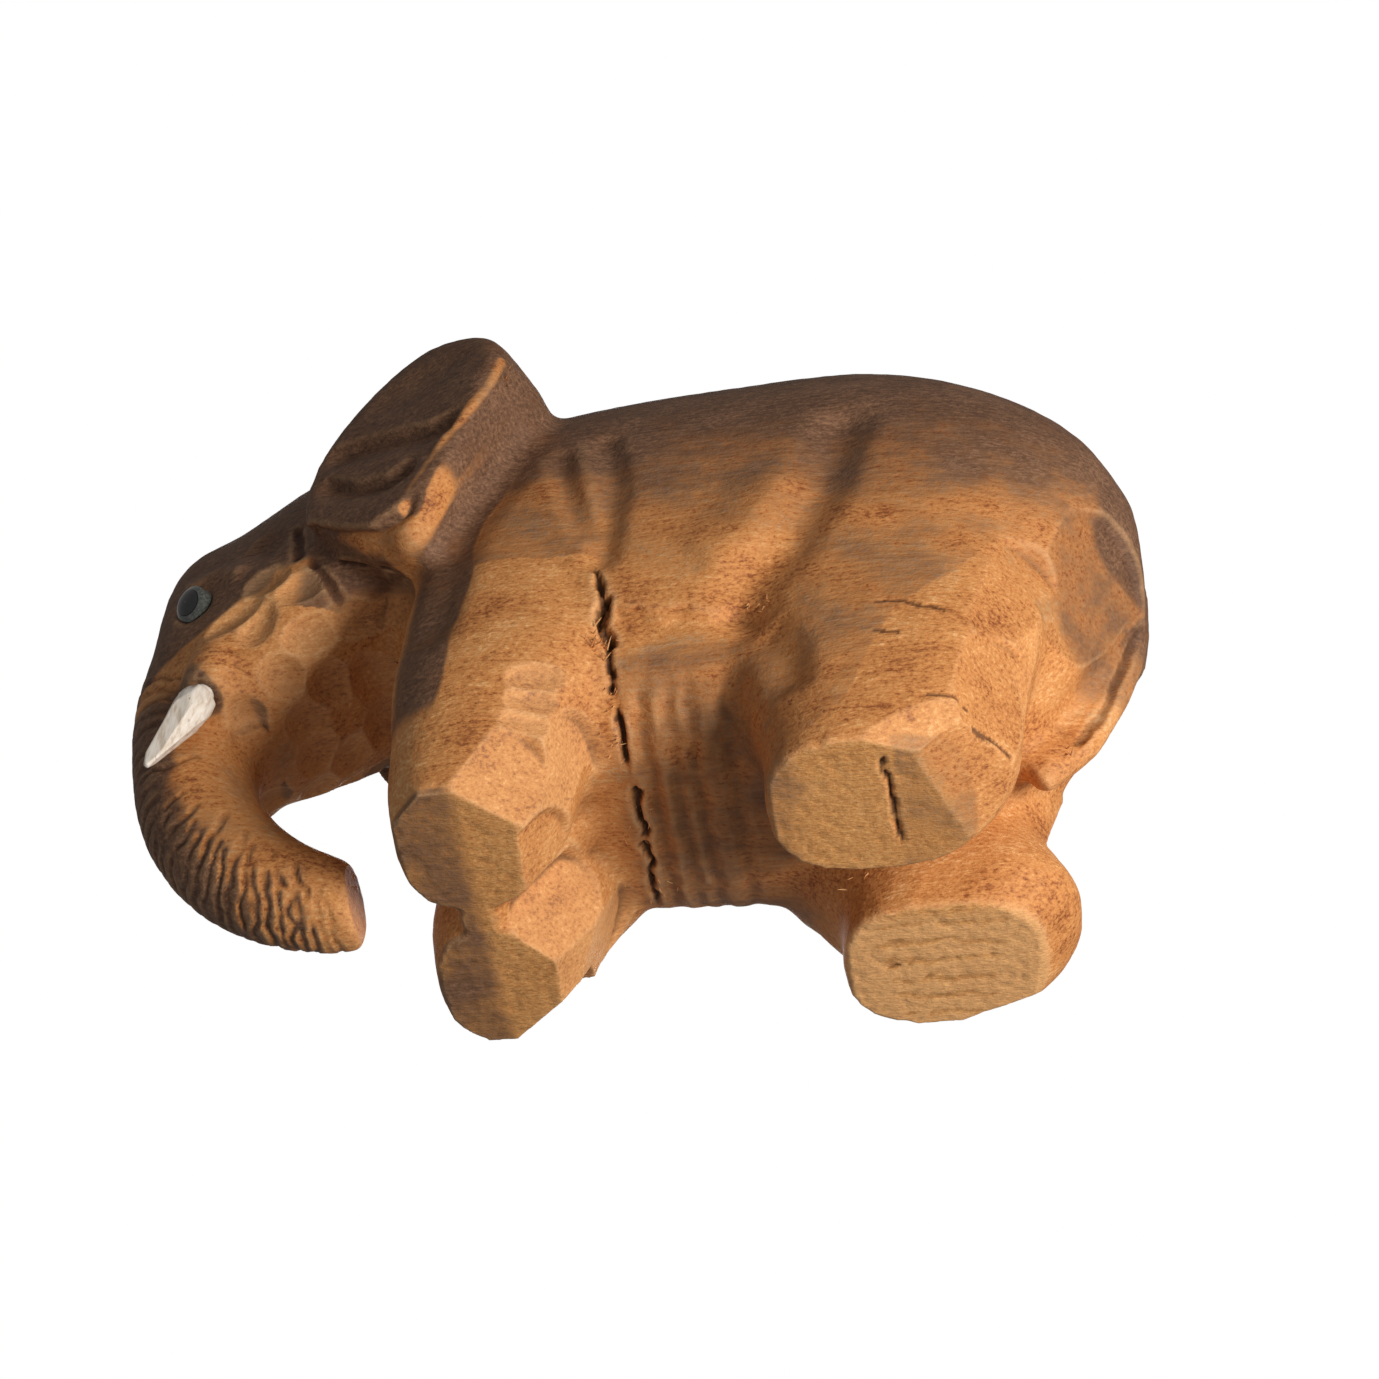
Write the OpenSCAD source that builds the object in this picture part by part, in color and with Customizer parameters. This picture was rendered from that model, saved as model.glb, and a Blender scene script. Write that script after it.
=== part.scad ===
// Carved wooden elephant: one block of wood, with set-in tusks and glass eyes.
// Units are millimetres. The elephant faces -X, its left side is -Y, and it stands on Z = 0.

/* [Body] */
// Half of the body's width at the belly
body_half_w = 40; // [37:0.5:43]
// Height of the back above the ground
back_h = 132; // [128:1:136]
// Height of the belly above the ground
belly_h = 19; // [16:1:23]

/* [Head] */
// Diameter of each glass eye
eye_d = 8; // [7:0.5:9]
// Diameter of the black pupil
pupil_d = 5.6; // [4:0.2:6]
// Diameter of the wire that pins an eye in its hole
eye_wire_d = 1.2; // [1:0.1:1.6]

/* [Tusks] */
// Length of a tusk that shows
tusk_len = 23; // [18:1:26]
// Diameter of the tenon that is glued into the head
tenon_d = 4; // [3.5:0.25:4.5]
// Depth of the tenon in its socket
tenon_len = 9; // [7:1:10]

/* [Hidden] */
// Every sub-part's name
// Which sub-part to draw
// Glue gap round each set-in piece
fit_gap = 0.08;
// Moves everything along X so that the box is centred on the origin
centre_shift = 15.06;
// Left eye's centre, on the wood's surface
eye_pos = [-103.9, -18.7, 76.4];
// Turn of the left eye's axis about Z, from straight out to the side towards the front
eye_turn = -30;
// Downward dip of that axis
eye_dip = 20;
// Depth of the eye's seat in the wood
eye_seat = 2.6;
// Height of the glass's dome above the wood
eye_dome = 1.8;
// Radius of the ball that the dome is cut from
eye_ball_r = eye_d * 0.72;
// Depth of the drilled hole for the pin, under the seat
pin_depth = 11;
// Left tusk's root, on the wood's surface
tusk_root = [-98.4, -16.8, 50];
// Rake of the tusk from straight down
tusk_rake = 18;
// Outward splay of the tusk
tusk_splay = 25;
// Width of the saw-like stop cut behind each front leg
cut_w = 0.9;
// Depth of the stop cut from its start outside the flank
cut_depth = 8;
// Height of the stop cut up the flank
cut_h = 36;

// ---- helpers ----------------------------------------------------------------------------

// Sign-keeping power, for superellipse outlines
function spow(v, p) = sign(v) * pow(abs(v), p);

// Catmull-Rom value between b and c at t, for numbers or vectors
function cr(a, b, c, d, t) =
    0.5 * (2 * b + (c - a) * t + (2 * a - 5 * b + 4 * c - d) * t * t + (3 * b - a - 3 * c + d) * t * t * t);

// Stations refined with `n` steps between each pair
function refine(st, n) = [
    for (i = [0 : len(st) - 2], k = [0 : n - 1])
        cr(st[max(i - 1, 0)], st[i], st[i + 1], st[min(i + 2, len(st) - 1)], k / n),
    st[len(st) - 1]
];

// Closed outline refined with `n` steps between each pair of points
function refine_loop(pts, n) = let (m = len(pts)) [
    for (i = [0 : m - 1], k = [0 : n - 1])
        cr(pts[(i + m - 1) % m], pts[i], pts[(i + 1) % m], pts[(i + 2) % m], k / n)
];

// Closed skin over rings of equal point count, with a flat cap at each end
module skin(rings) {
    n = len(rings[0]);
    m = len(rings);
    polyhedron(
        points = [for (r = rings, p = r) p],
        faces = concat(
            [[for (k = [n - 1 : -1 : 0]) k]],
            [[for (k = [0 : n - 1]) (m - 1) * n + k]],
            [for (i = [0 : m - 2], k = [0 : n - 1]) [i * n + k, i * n + (k + 1) % n, (i + 1) * n + k]],
            [for (i = [0 : m - 2], k = [0 : n - 1])
                [i * n + (k + 1) % n, (i + 1) * n + (k + 1) % n, (i + 1) * n + k]]));
}

// Upright ring across X: station [x, y middle, z bottom, z top, half width, z of widest, n below, n above]
function body_ring(s, sides) = [
    for (k = [0 : sides - 1]) let (a = 360 * k / sides, c = cos(a), t = sin(a), n = t < 0 ? s[6] : s[7])
        [s[0], s[1] - s[4] * spow(c, 2 / n), s[5] + (t < 0 ? s[5] - s[2] : s[3] - s[5]) * spow(t, 2 / n)]
];

// Flat ring across Z: station [z, x middle, y middle, half length, half width, n]
function leg_ring(s, sides) = [
    for (k = [0 : sides - 1]) let (a = 360 * k / sides)
        [s[1] + s[3] * spow(cos(a), 2 / s[5]), s[2] - s[4] * spow(sin(a), 2 / s[5]), s[0]]
];

// Ring square to a spine in the XZ plane: station [x, z, pitch, half width, half depth, y middle]
function spine_ring(s, sides) = [
    for (k = [0 : sides - 1]) let (a = 360 * k / sides)
        [s[0] - s[4] * sin(a) * sin(s[2]), s[5] - s[3] * cos(a), s[1] + s[4] * sin(a) * cos(s[2])]
];

// ---- carved block -----------------------------------------------------------------------

module torso() {
    w = body_half_w;
    stations = [
        [-66, 0, 70, 104, 14, 86, 2.2, 2.2],
        [-60, 0, 61, 118, 26, 86, 2.4, 2.2],
        [-51, 0, 46, 124, 32, 84, 2.4, 2.2],
        [-32, 0, 26, 127, 38, 80, 3.2, 2.2],
        [-12, 0, belly_h + 1, back_h - 2, w - 0.5, 78, 3.4, 2.3],
        [10, 0, belly_h, back_h, w, 78, 3.4, 2.3],
        [32, 0, belly_h, back_h, w + 1, 78, 3.4, 2.3],
        [50, 0, belly_h + 5, back_h - 5, w, 76, 2.6, 2.3],
        [66, 0, belly_h + 16, back_h - 13.5, w - 4, 76, 2.2, 2.2],
        [78, 0, belly_h + 28, back_h - 26.5, w - 11, 77, 2.2, 2.2],
        [86, 0, belly_h + 42, back_h - 41, w - 24, 78, 2.2, 2.2]
    ];
    skin([for (s = refine(stations, 2)) body_ring(s, 32)]);
}

module head() {
    stations = [
        [-114.5, 0, 66, 94, 6, 80, 2, 2],
        [-113, 0, 57, 101, 11.5, 80, 2.2, 2.2],
        [-108, 0, 48, 107, 16.5, 80, 2.4, 2.3],
        [-99, 0, 44, 110.5, 20, 78, 2.6, 2.3],
        [-90, 0, 47, 117, 24, 77, 2.5, 2.3],
        [-80, 0, 53, 126, 27, 80, 2.4, 2.2],
        [-66, 0, 64, 131, 30, 88, 2.4, 2.2],
        [-52, 0, 70, 129.5, 30, 92, 2.4, 2.2],
        [-40, 0, 76, 124, 26, 94, 2.4, 2.2]
    ];
    skin([for (s = refine(stations, 2)) body_ring(s, 28)]);
}

// The trunk hangs down, then curls back under the chin with its tip swung a little to the right
module trunk() {
    stations = [
        [-100, 82, 252, 16, 15.5, 0],
        [-102.5, 62, 264, 14.5, 15.5, 0],
        [-102.8, 44, 274, 13, 12.5, 0],
        [-98.6, 30, 290, 12, 12, 0.5],
        [-90, 19, 316, 11, 11.5, 1.5],
        [-80, 12.8, 340, 10, 10.5, 2.5],
        [-71, 10.2, 354, 9.2, 9.2, 3.2],
        [-66.5, 9.8, 366, 8, 8, 3.5]
    ];
    skin([for (s = refine(stations, 2)) spine_ring(s, 24)]);
}

// One leg from the ground up, from its own stations
module leg(stations) {
    skin([for (s = refine(stations, 2)) leg_ring(s, 24)]);
}

module front_leg(side, x) {
    leg([
        [0, x - 2, side * 18.5, 12, 15.5, 2.6],
        [4, x - 1, side * 18.5, 13.8, 16.2, 2.6],
        [11, x + 0.5, side * 18.5, 16.5, 17, 2.6],
        [22, x + 2, side * 20, 18, 17, 2.5],
        [36, x + 5.5, side * 22, 22.5, 17, 2.4],
        [76, x + 8, side * 20, 22, 18, 2.3],
        [98, x + 8, side * 16, 16, 14, 2.2]
    ]);
}

// Wood left between the front legs, down to the bridge that joins their soles
module front_web() {
    leg([
        [0, -42.7, 0, 3.4, 5, 2],
        [8, -41, 0, 6.5, 6, 2],
        [20, -36.5, 0, 13.5, 8, 2],
        [34, -33, 0, 19, 10, 2],
        [60, -32, 0, 20, 12, 2]
    ]);
}

module rear_leg(side, x, heel) {
    leg([
        [0, x - 4, side * 21.5, 18.5, 16.3, 2.7],
        [4, x - 2, side * 21.5, 21, 17.2, 2.7],
        [11, x, side * 21.5, 23, 18, 2.7],
        [24, x - heel - 1, side * 22.5, 26, 18, 2.6],
        [42, x - heel - 1, side * 22, 31, 18, 2.4],
        [70, x - heel, side * 20, 33, 19, 2.4],
        [98, x - heel - 3, side * 15, 20, 15, 2.2]
    ]);
}

// Left ear: a thick leaf that flares out and back from the side of the head
module ear() {
    outline = refine_loop([
        [-78, 80], [-71, 71], [-62, 65], [-54, 62], [-49, 68], [-44, 80], [-39, 93], [-35, 106],
        [-38, 115], [-44, 120], [-53, 122], [-62, 118], [-70, 110], [-77, 97]
    ], 2);
    mid = [-56, 92];
    function flare(p) = 35 + 0.36 * (p[0] + 78);
    // Each ring: scale about the middle, step outwards, step towards the tail
    function ring(k, d, back) = [for (i = [len(outline) - 1 : -1 : 0]) let (p = outline[i])
        [mid[0] + back + k * (p[0] - mid[0]), -flare(p) - d, mid[1] + k * (p[1] - mid[1])]];
    skin([ring(0.88, -22, 10), ring(0.96, -12, 6), ring(1, -5, 1.5), ring(1, -2, 0), ring(0.96, 0.8, -0.5),
          ring(0.86, 1.5, -1)]);
}

// Tail: a flat band carved on the rump, running down and under between the rear legs
module tail() {
    stations = [
        [76, 98, 292, 3.5, 5, 0],
        [81, 86, 285, 4.5, 5.5, 0],
        [82.3, 73, 268, 4.5, 5.5, 0],
        [80.5, 59, 256, 4.2, 5.5, 0],
        [76, 47, 248, 4.2, 5.5, 0],
        [69, 34, 236, 4, 5.5, 0],
        [60, 25, 215, 3.5, 5, 0]
    ];
    skin([for (s = refine(stations, 1)) spine_ring(s, 16)]);
}

// Deep saw-like stop cut behind a front leg
module stop_cut() {
    rotate([0, 6, 0]) cube([cut_w, cut_depth, cut_h]);
}

module carved_body() {
    color("saddlebrown")
    to_frame()
    difference() {
        union() {
            torso();
            head();
            trunk();
            front_leg(-1, -40.5);
            front_leg(1, -39.5);
            front_web();
            rear_leg(-1, 35, 0);
            rear_leg(1, 45, 7);
            ear();
            mirror([0, 1, 0]) ear();
            tail();
            for (m = [0, 1]) mirror([0, m, 0]) at_tusk() tusk_sheath();
        }
        for (m = [0, 1]) mirror([0, m, 0]) {
            at_eye() eye_socket();
            at_tusk() tusk_shape(fit_gap);
            translate([-22, -44, 20]) stop_cut();
        }
        // The flat ground cut that makes the four soles
        translate([-150, -80, -40]) cube([300, 160, 40]);
    }
}

// ---- eyes: Z points outwards, the wood's surface is at Z = 0 --------------------------------

module at_eye() {
    translate(eye_pos) rotate([0, 0, eye_turn]) rotate([90 + eye_dip, 0, 0]) children();
}

module eye_socket() {
    translate([0, 0, -eye_seat]) cylinder(h = eye_seat + 6, d = eye_d + 2 * fit_gap, $fn = 48);
    translate([0, 0, -eye_seat - pin_depth])
        cylinder(h = pin_depth + 1, d = eye_wire_d + 2 * fit_gap, $fn = 24);
}

module eye_glass() {
    difference() {
        intersection() {
            translate([0, 0, eye_dome - eye_ball_r]) sphere(r = eye_ball_r, $fn = 64);
            translate([0, 0, fit_gap - eye_seat]) cylinder(h = 12, d = eye_d, $fn = 48);
        }
        translate([0, 0, -eye_seat - 1]) cylinder(h = 12, d = pupil_d + 2 * fit_gap, $fn = 48);
    }
}

module eye_pupil() {
    difference() {
        intersection() {
            translate([0, 0, eye_dome + 0.1 - eye_ball_r]) sphere(r = eye_ball_r, $fn = 64);
            translate([0, 0, fit_gap - eye_seat]) cylinder(h = 12, d = pupil_d, $fn = 48);
        }
        translate([0, 0, -eye_seat - 1]) cylinder(h = 2.5, d = eye_wire_d + 2 * fit_gap, $fn = 24);
    }
}

module eye_wire() {
    translate([0, 0, 1 - eye_seat - pin_depth]) cylinder(h = pin_depth + 0.3, d = eye_wire_d, $fn = 24);
}

module eye_glass_left() {
    color("slategray") to_frame() at_eye() eye_glass();
}

module eye_glass_right() {
    color("slategray") to_frame() mirror([0, 1, 0]) at_eye() eye_glass();
}

module eye_pupil_left() {
    color("black") to_frame() at_eye() eye_pupil();
}

module eye_pupil_right() {
    color("black") to_frame() mirror([0, 1, 0]) at_eye() eye_pupil();
}

module eye_wire_left() {
    color("silver") to_frame() at_eye() eye_wire();
}

module eye_wire_right() {
    color("silver") to_frame() mirror([0, 1, 0]) at_eye() eye_wire();
}

// ---- tusks: Z runs from the root to the tip, the wood's surface is at Z = 0 ------------------

module at_tusk() {
    translate(tusk_root) rotate([0, 180 - tusk_rake, 180 + tusk_splay]) children();
}

// Whittled peg with flat sides, from stations [distance from the root, radius]
module tapered_peg(stations) {
    skin([for (s = stations) [for (k = [0 : 6]) let (a = 360 * k / 7)
        [s[1] * cos(a), -s[1] * sin(a), s[0]]]]);
}

// The peg with its round tenon; `gap` grows it to cut its seat
module tusk_shape(gap) {
    rings = [[0, 3.3], [3, 3.9], [9, 4.2], [14, 3.6], [tusk_len - 3.5, 2], [tusk_len, 0.6]];
    tapered_peg([for (r = rings) [r[0] + (r[0] > 1 ? gap : -gap), r[1] + gap]]);
    translate([0, 0, -tenon_len - gap]) cylinder(h = tenon_len + 1, d = tenon_d + 2 * gap, $fn = 32);
}

// Swelling of the cheek that the root goes into
module tusk_sheath() {
    translate([0, 0, -15]) cylinder(h = 14.5, r1 = 7.5, r2 = 5.2, $fn = 32);
}

module tusk_left() {
    color("ivory") to_frame() at_tusk() tusk_shape(0);
}

module tusk_right() {
    color("ivory") to_frame() mirror([0, 1, 0]) at_tusk() tusk_shape(0);
}

// ---- drawing --------------------------------------------------------------------------------

module to_frame() {
    translate([centre_shift, 0, 0]) children();
}

carved_body();
tusk_left();
tusk_right();
eye_glass_left();
eye_glass_right();
eye_pupil_left();
eye_pupil_right();
eye_wire_left();
eye_wire_right();
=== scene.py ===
import math
import bpy
import numpy as np
from mathutils import Matrix, Vector


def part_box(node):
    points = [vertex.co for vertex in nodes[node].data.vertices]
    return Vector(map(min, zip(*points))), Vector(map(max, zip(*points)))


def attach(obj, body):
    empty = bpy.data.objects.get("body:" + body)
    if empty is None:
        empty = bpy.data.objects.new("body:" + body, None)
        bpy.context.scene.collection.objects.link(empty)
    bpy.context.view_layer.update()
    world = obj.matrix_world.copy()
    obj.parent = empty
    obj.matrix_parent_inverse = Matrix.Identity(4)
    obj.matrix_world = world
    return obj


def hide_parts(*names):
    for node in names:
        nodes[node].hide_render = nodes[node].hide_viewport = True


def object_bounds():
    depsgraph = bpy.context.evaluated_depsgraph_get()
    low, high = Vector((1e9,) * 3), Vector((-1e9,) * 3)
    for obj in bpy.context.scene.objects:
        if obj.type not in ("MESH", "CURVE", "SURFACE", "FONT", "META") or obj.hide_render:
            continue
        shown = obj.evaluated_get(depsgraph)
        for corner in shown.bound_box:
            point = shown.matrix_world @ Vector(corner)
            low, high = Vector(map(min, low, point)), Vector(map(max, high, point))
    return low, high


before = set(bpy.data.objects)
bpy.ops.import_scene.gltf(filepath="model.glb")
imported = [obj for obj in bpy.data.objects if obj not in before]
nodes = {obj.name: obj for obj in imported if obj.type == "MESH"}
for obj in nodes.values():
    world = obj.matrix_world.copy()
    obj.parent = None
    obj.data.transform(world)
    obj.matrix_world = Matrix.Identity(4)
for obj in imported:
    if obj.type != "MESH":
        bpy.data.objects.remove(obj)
cad_box = [list(c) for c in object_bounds()]

# All shaping below is in millimetres, in the CAD frame: +X to the tail, -Y to the near side, +Z up.
MM = 0.001
LOW = np.array(cad_box[0]) / MM
HIGH = np.array(cad_box[1]) / MM
INSET = 0.02
COARSE_VOXEL = 1.1
FINE_VOXEL = 0.6
TUSK_VOXEL = 0.32
STEP_WALL = 2.0


def centre_mm(name):
    """The middle of a CAD node's box, in millimetres."""
    low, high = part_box(name)
    return (np.array(low) + np.array(high)) / 2 / MM


# ---------------------------------------------------------------- noise
def lattice(i, j, k, seed):
    h = (i * 374761393 + j * 668265263 + k * 1442695041 + seed * 1274126177) & 0xFFFFFFFF
    h = ((h ^ (h >> 13)) * 1274126177) & 0xFFFFFFFF
    return (h ^ (h >> 16)) / 0x7FFFFFFF - 1


def noise(p, size, seed):
    """Smooth value noise from -1 to 1. size is one number, or one for each axis, in millimetres."""
    q = p / np.asarray(size, float)
    cell = np.floor(q).astype(np.int64)
    f = q - cell
    f = f * f * (3 - 2 * f)
    total = np.zeros(len(p))
    for a in (0, 1):
        for b in (0, 1):
            for c in (0, 1):
                w = np.where(a, f[:, 0], 1 - f[:, 0])
                w = w * np.where(b, f[:, 1], 1 - f[:, 1])
                w = w * np.where(c, f[:, 2], 1 - f[:, 2])
                total += w * lattice(cell[:, 0] + a, cell[:, 1] + b, cell[:, 2] + c, seed)
    return total


def fbm(p, size, seed, octaves=3):
    total = np.zeros(len(p))
    for i in range(octaves):
        total += noise(p, np.asarray(size, float) / 2**i, seed + 17 * i) / 2**i
    return total


def ramp(x, a, b):
    """0 at a, 1 at b, smooth between. a may be above b."""
    t = np.clip((x - a) / (b - a), 0, 1)
    return t * t * (3 - 2 * t)


def unit(v):
    v = np.asarray(v, float)
    return v / np.linalg.norm(v)


def path(where, points):
    """For each place: its distance to a line through the points, how far along (0 to 1), and the
    line's nearest point."""
    points = np.asarray(points, float)
    best = np.full(len(where), 1e9)
    along = np.zeros(len(where))
    foot = np.zeros((len(where), 3))
    spans = np.linalg.norm(np.diff(points, axis=0), axis=1)
    starts = np.concatenate([[0], np.cumsum(spans)])
    for i in range(len(points) - 1):
        a, b = points[i], points[i + 1]
        t = np.clip(((where - a) @ (b - a)) / spans[i] ** 2, 0, 1)
        beside = a + t[:, None] * (b - a)
        d = np.sqrt(((where - beside) ** 2).sum(1))
        near = d < best
        best[near] = d[near]
        along[near] = (starts[i] + t[near] * spans[i]) / starts[-1]
        foot[near] = beside[near]
    return best, along, foot


# ---------------------------------------------------------------- the block of wood
def new_object(name, mesh):
    obj = bpy.data.objects.new(name, mesh)
    bpy.context.scene.collection.objects.link(obj)
    return obj


def voxel_mesh(mesh, size):
    """The mesh rebuilt as even quads of that size in millimetres."""
    obj = new_object("voxels", mesh)
    mod = obj.modifiers.new("voxels", "REMESH")
    mod.mode = "VOXEL"
    mod.voxel_size = size * MM
    mod.adaptivity = 0
    graph = bpy.context.evaluated_depsgraph_get()
    made = bpy.data.meshes.new_from_object(obj.evaluated_get(graph))
    bpy.data.objects.remove(obj)
    return made


class Block:
    """A quad mesh as arrays, and the cuts that the knife and gouge make in it."""

    def __init__(self, mesh):
        self.mesh = mesh
        count = len(mesh.vertices)
        flat = np.zeros(count * 3, np.float32)
        mesh.vertices.foreach_get("co", flat)
        self.v = flat.reshape(-1, 3).astype(float) / MM
        loops = np.zeros(len(mesh.loops), np.int64)
        mesh.loops.foreach_get("vertex_index", loops)
        self.q = loops.reshape(-1, 4)
        ends = np.zeros(len(mesh.edges) * 2, np.int64)
        mesh.edges.foreach_get("vertices", ends)
        self.e = ends.reshape(-1, 2)
        self.degree = np.bincount(self.e.ravel(), minlength=count)
        self.tone = np.zeros(count)
        self.normals()

    def normals(self):
        a, b, c, d = (self.v[self.q[:, i]] for i in range(4))
        face = np.cross(c - a, d - b)
        self.n = np.zeros_like(self.v)
        for i in range(4):
            for axis in range(3):
                self.n[:, axis] += np.bincount(
                    self.q[:, i], weights=face[:, axis], minlength=len(self.v))
        self.n /= np.linalg.norm(self.n, axis=1)[:, None] + 1e-12

    def average(self, values):
        """Each vertex's mean over its neighbours."""
        values = values.reshape(len(values), -1)
        out = np.zeros_like(values)
        for axis in range(values.shape[1]):
            col = values[:, axis]
            out[:, axis] = np.bincount(
                self.e[:, 0], weights=col[self.e[:, 1]], minlength=len(values))
            out[:, axis] += np.bincount(
                self.e[:, 1], weights=col[self.e[:, 0]], minlength=len(values))
        return out / self.degree[:, None]

    def smooth(self, times, weight=1.0):
        weight = np.broadcast_to(weight, len(self.v))[:, None]
        for _ in range(times):
            self.v += 0.5 * weight * (self.average(self.v) - self.v)
        self.normals()

    def within(self, low, high):
        """Which vertices lie in a box, by number."""
        return np.flatnonzero(((self.v > low) & (self.v < high)).all(1))

    def near(self, p):
        """The surface point nearest p, and its normal."""
        p = np.asarray(p, float)
        some = self.within(p - 8, p + 8)
        if not len(some):
            some = np.arange(len(self.v))
        i = some[np.argmin(((self.v[some] - p) ** 2).sum(1))]
        return self.v[i].copy(), self.n[i].copy()

    def around(self, p, reach):
        """The vertices within reach of p, on p's own side of the middle."""
        some = self.within(p - reach, p + reach)
        if abs(p[1]) > 2.5:
            some = some[self.v[some, 1] * np.sign(p[1]) > -0.5]
        return some

    def plane_cut(self, p, n, reach, tone=0.0):
        """Slices off what stands beyond the plane through p, within reach of p."""
        p, n = np.asarray(p, float), unit(n)
        some = self.around(p, reach)
        away = self.v[some] - p
        high = away @ n
        rim = ramp(np.sqrt((away**2).sum(1)), reach, reach * 0.85)
        take = np.where((high > 0) & (rim > 0), high * rim, 0)
        self.v[some] -= take[:, None] * n
        self.tone[some[take > 0.02]] = tone

    def facet(self, p, depth, reach):
        """A flat knife cut on the surface nearest p, made only where the surface curves away from
        it on every side."""
        c, n = self.near(p)
        n = unit(n)
        away = self.v[self.around(c, reach)] - c
        far = np.sqrt((away**2).sum(1)) > reach * 0.7
        if (away[far] @ n < -depth).all():
            self.plane_cut(c - n * depth, n, reach)

    def scoop(self, p, along, length, width, depth, tone=0.0):
        """A gouge cut: a long hollow with crisp edges, on the surface nearest p."""
        c, n = self.near(p)
        n = unit(n)
        u = unit(np.asarray(along, float) - n * np.dot(along, n))
        w = np.cross(n, u)
        some = self.around(c, max(length, width) * 1.2)
        some = some[self.n[some] @ n > -0.1]
        away = self.v[some] - c
        a, b, h = away @ u, away @ w, away @ n
        floor = depth * ((a / length) ** 2 + (b / width) ** 2 - 1)
        take = np.where((np.abs(b) < width * 1.2) & (h > floor), h - floor, 0)
        take = np.minimum(take, depth * 2.5)
        self.v[some] -= take[:, None] * n
        self.tone[some[take > 0.02]] = tone

    def along_line(self, points, reach, wander=0.0, seed=1):
        """The vertices near a line on the surface: which, how far off, how far along (0 to 1), and
        the line's point beside each."""
        points = np.array([self.near(p)[0] for p in points])
        some = self.within(points.min(0) - reach - wander, points.max(0) + reach + wander)
        at_rest = self.v[some]
        if wander:
            at_rest = at_rest + wander * np.stack(
                [noise(at_rest, 3.0, seed + i) for i in range(3)], axis=1)
        d, along, foot = path(at_rest, points)
        return some, d, along, at_rest - foot

    def groove(self, points, width, depth, wander=0.0, seed=1, tone=None):
        """A groove (or with a negative depth a ridge) along a line on the surface."""
        some, d, along, _ = self.along_line(points, width, wander, seed)
        t = np.clip(d / width, 0, 1)
        profile = (1 - t) ** 2 * (1 + 2 * t)
        profile *= ramp(along, -0.001, 0.12) * ramp(along, 1.001, 0.88)
        self.v[some] -= (depth * profile)[:, None] * self.n[some]
        if tone is not None:
            self.tone[some[profile > 0.3]] = tone

    def shelf(self, points, below, width, depth):
        """A step along a line: the side that below points to is cut away, deepest near the line."""
        some, d, along, off = self.along_line(points, width)
        t = np.clip(d / width, 0, 1)
        profile = np.where(off @ unit(below) > 0, (1 - t) * (1 + 0.6 * t), 0) * ramp(d, 0, STEP_WALL)
        profile *= ramp(along, -0.001, 0.15) * ramp(along, 1.001, 0.85)
        self.v[some] -= (depth * profile)[:, None] * self.n[some]

    def keep_inside(self):
        """Holds every vertex inside the CAD model's box."""
        self.v = np.clip(self.v, LOW + INSET, HIGH - INSET)

    def finish(self):
        self.mesh.vertices.foreach_set("co", (self.v * MM).astype(np.float32).ravel())
        self.mesh.update()

    def shade_smooth(self):
        for poly in self.mesh.polygons:
            poly.use_smooth = True

    def attribute(self, name, values):
        layer = self.mesh.attributes.new(name, "FLOAT", "POINT")
        layer.data.foreach_set("value", np.asarray(values, np.float32))


# ---------------------------------------------------------------- stage A: soft forms
NEAR, FAR = 1, -1


def at(side, x, y, z):
    """A point written for the near side (y below 0), or its mirror on the far side."""
    return np.array([x, y * side, z], float)


def line(side, *points):
    return [at(side, *p) for p in points]


block = Block(voxel_mesh(nodes["carved_body"].data.copy(), COARSE_VOXEL))
eye_left = centre_mm("eye_glass_left")
eye_right = centre_mm("eye_glass_right")


def eye_distance(v):
    a = np.sqrt(((v - eye_left) ** 2).sum(1))
    b = np.sqrt(((v - eye_right) ** 2).sum(1))
    return np.minimum(a, b)


x, y, z = block.v.T
keep = ramp(z, 1.0, 7.0) * ramp(eye_distance(block.v), 5.0, 8.0)
ear_rim = ramp(np.abs(y), 40, 46) * ramp(z, 70, 76) * ramp(x, -10, -20)
keep *= 1 - 0.8 * ear_rim
block.smooth(14, keep)

for side in (NEAR, FAR):
    # The fold between flank and thigh, from the loin down to the groin.
    block.groove(line(side, (46, -39, 95), (44, -41, 84), (40, -41, 68), (34, -40, 54), (25, -37, 42),
                      (28, -37, 30)), 9, 2.6)
    block.groove(line(side, (34, -42, 74), (27, -42, 58), (16, -41, 50)), 12, -1.4)
    # The band round the neck behind the ear, and the two folds behind the shoulder.
    block.groove(line(side, (-19, -38, 100), (-24, -39, 84), (-29, -38, 66), (-32, -38, 50),
                      (-34, -36, 32)), 8, 1.6)
    block.groove(line(side, (-12, -38, 92), (-8, -40, 74), (-4, -39, 60)), 4, 1.6)
    block.groove(line(side, (-3, -38, 96), (0, -40, 78), (0, -39, 62), (-2, -38, 50)), 5, 2.0)
    # The lower edge of the flank, bulging over the belly.
    block.shelf(line(side, (0, -37, 44), (4, -37, 41), (9, -37, 39), (14, -38, 40), (20, -38, 39),
                     (27, -38, 41)), (0, 0.4, -1), 11, 2.2)
    # The eye socket and the brow over it, and the dip of the temple.
    block.groove(line(side, (-91, -14, 83), (-84, -20, 84), (-77, -23, 80)), 4, -1.2)
    block.groove(line(side, (-76, -22, 90), (-70, -25, 84)), 6, 1.4)
    # The hollow before the thigh.
    block.groove(line(side, (27, -38, 34), (32, -39, 24), (33, -37, 14)), 7, 2.4)
    # The cleft of the rump beside the tail.
    block.groove(line(side, (94, -6, 62), (88, -7, 44), (80, -6, 30)), 6, 2.0)
block.normals()
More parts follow.
